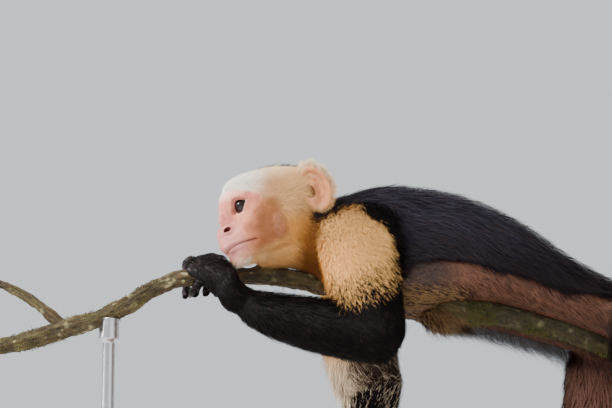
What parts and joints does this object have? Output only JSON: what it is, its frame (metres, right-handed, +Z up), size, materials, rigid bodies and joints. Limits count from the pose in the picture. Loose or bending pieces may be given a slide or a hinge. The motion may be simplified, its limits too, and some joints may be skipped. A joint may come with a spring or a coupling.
{
  "type": "capuchin monkey figure",
  "caption": "Life-size white-faced capuchin monkey resting along a branch perch, one hand gripping it, limbs and tail hanging, on a flat display stand.",
  "frame": {"origin": "centre of the stand base's underside, on the floor", "axes": "+X from the animal's head towards its tail, along the base's length; +Y to the animal's right; +Z up"},
  "size_m": [0.6835, 0.23, 0.4952],
  "materials": {
    "coat_black": "long black to black-brown hair with a faint sheen",
    "coat_cream": "cream to golden hair, soft and matt",
    "face_skin": "thin pale pink skin, satin",
    "belly_skin": "bare red-brown skin under sparse hair",
    "hand_skin": "dark purplish skin, satin",
    "eye": "dark brown, wet gloss",
    "bark": "rough grey-brown bark with moss",
    "stand_board": "dark stained board, satin varnish",
    "stand_metal": "brushed steel rod"
  },
  "bodies": {
    "root": {"eye_left": "eye", "eye_right": "eye", "head": "face_skin", "ear_left": "face_skin", "ear_right": "face_skin", "perch_branch": "bark", "perch_twig": "bark", "upper_arm_left": "coat_cream", "forearm_left": "coat_black", "thigh_left": "coat_black", "shank_left": "coat_black", "foot_left": "hand_skin", "upper_arm_right": "coat_cream", "forearm_right": "coat_black", "thigh_right": "coat_black", "shank_right": "coat_black", "foot_right": "hand_skin", "hand_left": "hand_skin", "hand_right": "hand_skin", "chest": "coat_cream", "abdomen": "belly_skin", "pelvis": "coat_black", "neck": "coat_cream", "tail_1": "coat_black", "tail_2": "coat_black", "tail_3": "coat_black", "tail_4": "coat_black", "stand_base": "stand_board", "stand_rod_front": "stand_metal", "stand_rod_rear": "stand_metal"}
  },
  "joints": []
}
